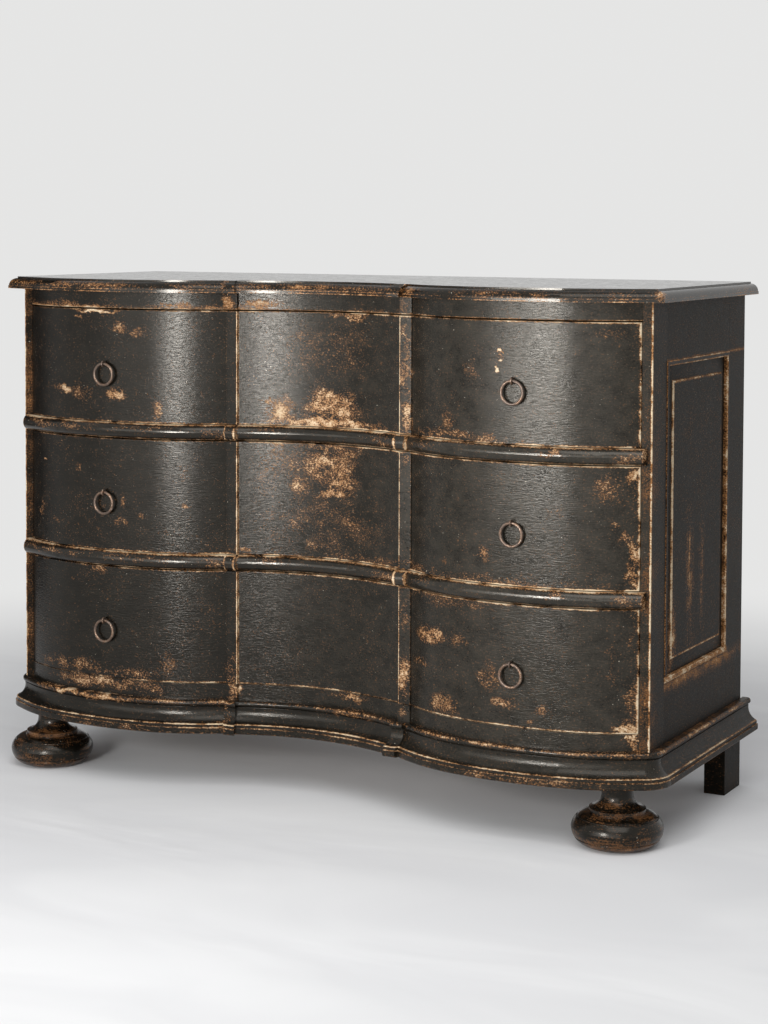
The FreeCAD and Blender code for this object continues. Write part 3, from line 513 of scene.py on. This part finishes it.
def dress(obj, *materials):
    """Gives a piece its materials in the order of its slots; the last one fills the rest."""
    while len(obj.material_slots) < len(materials):
        obj.data.materials.append(materials[0])
    for number, slot in enumerate(obj.material_slots):
        slot.material = materials[min(number, len(materials) - 1)]


def stood(bm, name):
    """Makes an object of a mesh and puts it in the scene."""
    mesh = bpy.data.meshes.new(name)
    bm.to_mesh(mesh)
    bm.free()
    obj = bpy.data.objects.new(name, mesh)
    scene.collection.objects.link(obj)
    return obj


def rounded_over(bm, edges, width):
    """Rounds edges of a mesh over, in two steps."""
    return bmesh.ops.bevel(bm, geom=edges, offset=width, offset_type="OFFSET", segments=2, profile=0.5,
                           affect="EDGES", clamp_overlap=True, material=-1)


def settled(bm, name):
    """Makes a piece of a mesh, in place of a node and on its body."""
    for face in bm.faces:
        face.smooth = True
    for edge in bm.edges:
        edge.smooth = not edge.is_manifold or edge.calc_face_angle() < SMOOTH_ANGLE
    piece = stood(bm, name + "_eased")
    kept = piece.data.attributes
    if "custom_normal" in kept:
        kept.remove(kept["custom_normal"])
    even = piece.modifiers.new("even", "WEIGHTED_NORMAL")
    even.keep_sharp = True
    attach(piece, body_of[name])
    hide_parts(name)
    return piece


def eased(name, width, chosen=lambda edge: True, bare_back=False):
    """A copy of a node with its arrises rounded over; the rounding carries the arris value.

    With a bare back, the faces turned to the rear take the second material."""
    bm = bmesh.new()
    bm.from_mesh(nodes[name].data)
    bmesh.ops.remove_doubles(bm, verts=bm.verts, dist=WELD)
    bmesh.ops.dissolve_limit(bm, angle_limit=FLAT_ANGLE, verts=bm.verts, edges=bm.edges)
    arris = bm.verts.layers.float.new("arris")
    sharp = [edge for edge in bm.edges if edge.is_manifold and edge.calc_length() > SHORTEST_EDGE
             and edge.calc_face_angle_signed() > ARRIS_ANGLE and chosen(edge)]
    made = rounded_over(bm, sharp, width)
    rounded = set(made["faces"])
    for vert in made["verts"]:
        if all(face in rounded for face in vert.link_faces):
            vert[arris] = 1.0
    for face in bm.faces:
        face.material_index = int(bare_back and face.normal.y > SIDE_TURN)
    return settled(bm, name)


def planked(name, count, width, gap):
    """Level boards in place of a node, with rounded arrises and a hair of a gap between them."""
    low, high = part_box(name)
    tall = (high.z - low.z) / count
    bm = bmesh.new()
    for number in range(count):
        verts = bmesh.ops.create_cube(bm, size=1.0)["verts"]
        bmesh.ops.scale(bm, vec=(high.x - low.x, high.y - low.y, tall - gap), verts=verts)
        middle = (low + high) / 2
        middle.z = low.z + (number + 0.5) * tall
        bmesh.ops.translate(bm, vec=middle, verts=verts)
    rounded_over(bm, bm.edges[:], width)
    return settled(bm, name)


def faces_front(edge):
    """Edges of a front piece that show from before the chest."""
    return any(face.normal.y < -FRONT_TURN for face in edge.link_faces)


def faces_out(edge):
    """Edges of a side piece that show from outside."""
    return any(abs(face.normal.x) > SIDE_TURN
               and abs(face.calc_center_median().x) > HALF_WIDTH - OUTER_SKIN
               for face in edge.link_faces)


# Woods of the pieces that are not painted
PINE_DARK, PINE_LIGHT = (0.145, 0.075, 0.033, 1), (0.33, 0.20, 0.105, 1)
BACK_DARK, BACK_LIGHT = (0.085, 0.05, 0.027, 1), (0.20, 0.125, 0.07, 1)
BACK_DIRT = 0.8
across_wood = timber("pine_across", "x", PINE_DARK, PINE_LIGHT)
deep_wood = timber("pine_front_to_back", "y", PINE_DARK, PINE_LIGHT)
back_low, back_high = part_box("back_boards")
back_wood = timber("back_wood", "x", BACK_DARK, BACK_LIGHT, BACK_DIRT)
board_wood = timber("back_boards_wood", "x", BACK_DARK, BACK_LIGHT, BACK_DIRT,
                    (back_low.z, (back_high.z - back_low.z) / BACK_BOARDS))

# The painted pieces: drawer fronts, bare on the inside, and then the frame round them
# Strength of the painted light towards the right on the front pieces
FRONT_PAINTED_LIGHT = 0.9
for drawer, patches in zip(DRAWERS, (UPPER_PATCHES, MIDDLE_PATCHES, LOWER_PATCHES)):
    front = drawer + "_drawer_front"
    low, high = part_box(front)
    wear = drawer_wear(low.z, high.z, high.x, patches)
    paint = worn_paint(drawer + "_drawer_paint", wear, painted_light=FRONT_PAINTED_LIGHT)
    dress(eased(front, DRAWER_ROUND, faces_front, bare_back=True), paint, across_wood)
dress(eased("frieze_rail", RAIL_ROUND, faces_front),
      worn_paint("frieze_paint", frieze_wear, 0.35, painted_light=FRONT_PAINTED_LIGHT))
dress(eased("plinth_rail", RAIL_ROUND, faces_front),
      worn_paint("plinth_paint", plinth_wear, painted_light=FRONT_PAINTED_LIGHT))
side_paint = worn_paint("side_paint", side_wear, 0.25, gloss=0.46, shine=0.07, ground=0.04)
panel_paint = worn_paint("panel_paint", panel_wear, 0.45, gloss=0.46, shine=0.065, ground=0.03)
bead_paint = worn_paint("panel_bead_paint", bead_wear, 0.3, gloss=0.42, shine=0.09, ground=0.05)
# Painted highlight: the painted light covers only the front face of each stile, in place of the highlight its
# lower shine loses
stile_paint = worn_paint("stile_paint", stile_wear, 0.4, gloss=0.44, shine=0.08, ground=0.05, painted_light=1.0,
                         painted_light_to=STILE_FRONT)
# The base moulding takes half the painted light towards the right
base_paint = worn_paint("base_paint", base_wear, relief=0.35, painted_light=0.5)
base_side_paint = worn_paint("base_side_paint", base_wear, gloss=0.42, shine=0.11, ground=0.04)
top_paint = worn_paint("top_paint", top_wear, 0.35, gloss=0.15, shine=0.34, relief=0.15)
foot_paint = worn_paint("foot_paint", foot_wear, 0.0, gloss=0.22, ground=0.06, relief=0.2, grain=0.6)
side_pieces = {"side_top_rail_": side_paint, "side_bottom_rail_": side_paint, "panel_bead_": bead_paint,
               "front_stile_": stile_paint, "base_moulding_": base_side_paint, "top_end_": top_paint,
               "bun_foot_": foot_paint}
for side in SIDES:
    dress(eased("side_panel_" + side, PANEL_ROUND, faces_out), panel_paint)
    dress(eased("rear_post_" + side, POST_ROUND), side_paint)
    for piece, paint in side_pieces.items():
        dress(nodes[piece + side], paint)
dress(nodes["base_moulding_front"], base_paint)
dress(nodes["top_front_board"], top_paint)
dress(nodes["top_panel"], top_paint)
for level in ("lower", "upper"):
    nosing = level + "_nosing"
    dress(nodes[nosing], worn_paint(nosing + "_paint", nosing_wear(nosing), gloss=0.17, shine=0.42,
                                    relief=0.25, painted_light=FRONT_PAINTED_LIGHT))
    dress(nodes[level + "_divider"], base_paint)

# Bare wood inside and behind, and the iron of the pulls
iron = rusty_iron("rusty_iron")
for drawer in DRAWERS:
    for board in ("back", "bottom"):
        dress(nodes[drawer + "_drawer_" + board], across_wood)
    for side in SIDES:
        dress(nodes[drawer + "_drawer_side_" + side], deep_wood)
        dress(nodes[drawer + "_ring_" + side], iron)
    dress(nodes[drawer + "_runners"], deep_wood)
    dress(nodes[drawer + "_drawer_staples"], iron)
dress(nodes["kickers"], deep_wood)
dress(nodes["drawer_stops"], across_wood)
dress(planked("back_boards", BACK_BOARDS, BOARD_ROUND, BOARD_GAP), board_wood)
for board in ("back_rail_top", "back_rail_bottom", "bottom_board"):
    dress(nodes[board], back_wood)

# Floor: pale cloth near the chest, running into the background further off
BACKGROUND = (0.785, 0.785, 0.78, 1)
CLOTH_SHADED_HOLLOW, CLOTH_LIT_RIDGE = (0.76, 0.76, 0.765, 1), (0.82, 0.82, 0.82, 1)
CLOTH_REACH = (0.8, 2.2)
CREASE_DEPTH = 0.012
FLOOR_RADIUS = 40.0
bm = bmesh.new()
bmesh.ops.create_circle(bm, cap_ends=True, segments=64, radius=FLOOR_RADIUS)
floor = stood(bm, "floor")
cloth = Finish("floor_cloth")
reach = cloth.node("ShaderNodeVectorMath", {"operation": "LENGTH"}, {0: cloth.place}, "Value")
creases = cloth.noise((1.6, 3.2, 1), 3.0, 0.5, 0.8)
# Painted shade and light on the folds: the cloth is greyer in the hollows of its creases and paler on their
# ridges
lit = cloth.node("ShaderNodeBsdfDiffuse", sockets={
    "Color": cloth.mix(CLOTH_SHADED_HOLLOW, CLOTH_LIT_RIDGE, creases.fade(0.35, 0.65)),
    "Normal": cloth.bump(creases, 0.35, CREASE_DEPTH)})
far = cloth.node("ShaderNodeEmission", sockets={"Color": BACKGROUND, "Strength": 1.0})
dress(floor, cloth.close(cloth.node("ShaderNodeMixShader", sockets={
    0: reach.fade(*CLOTH_REACH) * cloth.seen(), 1: lit, 2: far})))

# Studio: a pale room, two small lights and a lit wall before the chest, and a large light over it
ROOM_TINT = (0.80, 0.81, 0.83, 1)
ROOM_STRENGTH = 0.56
room = Finish("pale_room", bpy.data.worlds)
dim = room.node("ShaderNodeBackground", sockets={"Color": ROOM_TINT, "Strength": ROOM_STRENGTH})
clear = room.node("ShaderNodeBackground", sockets={"Color": BACKGROUND, "Strength": 1.0})
both = room.node("ShaderNodeMixShader", sockets={0: room.seen(), 1: dim, 2: clear})
scene.world = room.close(both, "ShaderNodeOutputWorld")


def soft_light(name, place, target, width, height, power, spread=180):
    """A flat light at a place, turned to a target. Sizes are metres, the spread is degrees."""
    lamp = bpy.data.lights.new(name, "AREA")
    lamp.shape = "RECTANGLE"
    lamp.size = width
    lamp.size_y = height
    lamp.energy = power
    lamp.spread = math.radians(spread)
    holder = bpy.data.objects.new(name, lamp)
    holder.location = place
    holder.visible_camera = False
    holder.rotation_euler = (Vector(target) - Vector(place)).to_track_quat("-Z", "Y").to_euler()
    scene.collection.objects.link(holder)


soft_light("front_softbox", (0.0, -2.55, 0.80), (0.0, -0.2, 0.58), 0.48, 0.50, 10.0, 100)
soft_light("near_softbox", (-0.20, -1.6, 0.68), (0.25, -0.2, 0.70), 0.38, 0.34, 0.65, 60)
soft_light("front_wall", (-0.2, -4.0, 1.05), (-0.2, 0.0, 1.05), 5.6, 2.1, 54)
soft_light("over_softbox", (1.2, -1.9, 3.0), (0.5, -0.4, 0.2), 2.6, 2.2, 45)

# A dark card on the left, which only the gloss of the paint shows
CARD_HALF_SIZE = (1.2, 1.1, 1.0)
CARD_PLACE = (-1.9, 0.3, 1.12)
CARD_FADE = (-0.9, -0.1)
FELT_DARK, FELT_LIGHT = (0.06, 0.06, 0.06, 1), (0.09, 0.09, 0.09, 1)
bm = bmesh.new()
bmesh.ops.create_grid(bm, x_segments=1, y_segments=1, size=1.0)
bmesh.ops.scale(bm, vec=CARD_HALF_SIZE, verts=bm.verts)
for axis in "XZ":
    turn = Matrix.Rotation(math.pi / 2, 3, axis)
    bmesh.ops.rotate(bm, cent=(0, 0, 0), matrix=turn, verts=bm.verts)
bmesh.ops.translate(bm, vec=CARD_PLACE, verts=bm.verts)
card = stood(bm, "dark_card")
card.visible_camera = False
card.visible_diffuse = False
card.visible_shadow = False
felt = Finish("black_felt")
cloth_side = felt.node("ShaderNodeBsdfDiffuse", sockets={
    "Color": felt.mix(FELT_DARK, FELT_LIGHT, felt.noise((40, 40, 40)))})
dress(card, felt.close(felt.node("ShaderNodeMixShader", sockets={
    0: felt.axes()[1].fade(*CARD_FADE), 1: felt.node("ShaderNodeBsdfTransparent"), 2: cloth_side})))

# Camera at the photograph's place and angle: its focal length and centre are in the frame's pixels
FRAME_WIDTH, FRAME_HEIGHT = 768, 1024
SENSOR = 36.0
FOCAL, CENTRE_X, CENTRE_Y = 2181.63, 375.59, 324.18
CAMERA_PLACE = (1.7966, -3.3557, 0.9874)
yaw, pitch, roll = math.radians(27.953), math.radians(2.853), math.radians(0.1895)
forward = Vector((-math.sin(yaw) * math.cos(pitch), math.cos(yaw) * math.cos(pitch), -math.sin(pitch)))
level = Vector((math.cos(yaw), math.sin(yaw), 0))
upright = level.cross(forward)
right = level * math.cos(roll) + upright * math.sin(roll)
up = upright * math.cos(roll) - level * math.sin(roll)
lens = bpy.data.cameras.new("camera")
lens.sensor_width = SENSOR
lens.lens = FOCAL * SENSOR / FRAME_HEIGHT
lens.shift_x = (FRAME_WIDTH / 2 - CENTRE_X) / FRAME_HEIGHT
lens.shift_y = -(FRAME_HEIGHT / 2 - CENTRE_Y) / FRAME_HEIGHT
camera = bpy.data.objects.new("camera", lens)
turned = Matrix((right, up, -forward)).transposed().to_4x4()
camera.matrix_world = Matrix.Translation(CAMERA_PLACE) @ turned
scene.collection.objects.link(camera)
scene.camera = camera
scene.view_settings.view_transform = "Standard"
